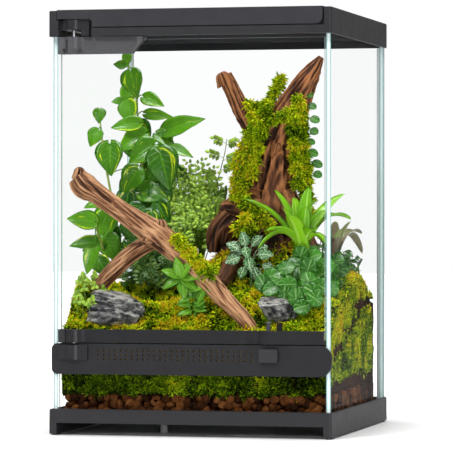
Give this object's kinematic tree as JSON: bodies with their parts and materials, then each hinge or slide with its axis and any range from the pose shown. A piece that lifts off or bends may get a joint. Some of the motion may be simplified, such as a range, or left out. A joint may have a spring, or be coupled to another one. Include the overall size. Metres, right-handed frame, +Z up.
{
  "type": "reptile terrarium",
  "caption": "Framed glass tank with a hinged front door, drop latch, vent panel and hinged mesh lid, holding a planted driftwood landscape.",
  "frame": {"origin": "middle of the footprint at the underside of the feet", "axes": "+X to the right, +Y from the door to the back pane, +Z up"},
  "size_m": [0.306, 0.306, 0.45],
  "materials": {
    "plastic_base": "matt charcoal, fine grain",
    "plastic_top": "matt charcoal, fine grain",
    "plastic_lid": "matt charcoal, fine grain",
    "plastic_vent": "matt charcoal",
    "plastic_hinge": "satin black",
    "plastic_door": "satin charcoal",
    "latch_grey": "satin grey",
    "rubber_feet": "matt",
    "rubber_buffer": "matt",
    "pad_grey": "matt light grey",
    "silicone": "translucent satin",
    "pin_steel": "turned",
    "mesh_steel": "woven",
    "mesh_brass": "woven",
    "glass_panes": "clear, green edge",
    "glass_door": "clear, green edge",
    "clay_pebbles": "rough fired clay",
    "soil": "damp peat and coir, filed under wood",
    "moss": "soft living moss, filed under fabric",
    "moss_bright": "yellow-green moss, filed under fabric",
    "driftwood": "weathered, grooved",
    "driftwood_dark": "weathered, grooved, darker",
    "slate": "split grey stone",
    "stem_green": "living stem, filed under fabric",
    "leaf_pothos": "glossy leaf with yellow variegation, filed under fabric",
    "leaf_mid": "glossy leaf, filed under fabric",
    "leaf_fern": "thin light-green leaf, filed under fabric",
    "leaf_veined": "green leaf with white veins, filed under fabric",
    "leaf_bromeliad": "waxy strap leaf, filed under fabric",
    "leaf_red": "waxy strap leaf, green to wine red, filed under fabric"
  },
  "bodies": {
    "tank": {"base_frame": "plastic_base", "foot_pads": "rubber_feet", "support_pad": "pad_grey", "bottom_glass": "glass_panes", "back_glass": "glass_panes", "left_glass": "glass_panes", "right_glass": "glass_panes", "front_lower_glass": "glass_panes", "silicone_seams": "silicone", "top_frame": "plastic_top", "upper_hinge_block": "plastic_hinge", "upper_hinge_pin": "pin_steel", "vent_panel": "plastic_vent", "vent_screen": "mesh_brass", "lower_hinge_block": "plastic_hinge", "lower_hinge_pin": "pin_steel", "latch_keeper": "plastic_vent", "lid_hinge_pins": "pin_steel", "drainage_layer": "clay_pebbles", "soil_bed": "soil", "moss_carpet": "moss", "moss_front": "moss", "moss_tufts": "moss_bright", "driftwood_arch": "driftwood", "driftwood_stump": "driftwood_dark", "rock_left": "slate", "rock_right": "slate", "arch_moss": "moss_bright", "stump_moss": "moss_bright", "stump_vine": "leaf_mid", "pothos_stems": "stem_green", "pothos_leaves": "leaf_pothos", "fern_clump": "leaf_fern", "tall_sprig": "leaf_fern", "clover_clump": "leaf_fern", "centre_plant": "leaf_mid", "fittonia": "leaf_veined", "round_leaf_plant": "leaf_mid", "bromeliad": "leaf_bromeliad", "red_bromeliad": "leaf_red", "side_sprig": "leaf_mid"},
    "door": {"door_glass": "glass_door", "door_rail": "plastic_door", "door_top_bracket": "plastic_door", "latch_buffer": "rubber_buffer"},
    "latch": {"latch_pin": "latch_grey"},
    "lid": {"lid_frame": "plastic_lid", "lid_screen": "mesh_steel"}
  },
  "joints": [
    {"name": "door_hinge", "type": "hinge", "parent": "tank", "child": "door", "pos_m": [-0.1285, -0.1425, 0.26], "axis": [0, 0, -1], "range_deg": [0, 110]},
    {"name": "latch_slide", "type": "slide", "parent": "door", "child": "latch", "axis": [0, 0, 1], "range_m": [-0.008, 0]},
    {"name": "lid_hinge", "type": "hinge", "parent": "tank", "child": "lid", "pos_m": [0, 0.1422, 0.445], "axis": [-1, 0, 0], "range_deg": [0, 85]}
  ]
}
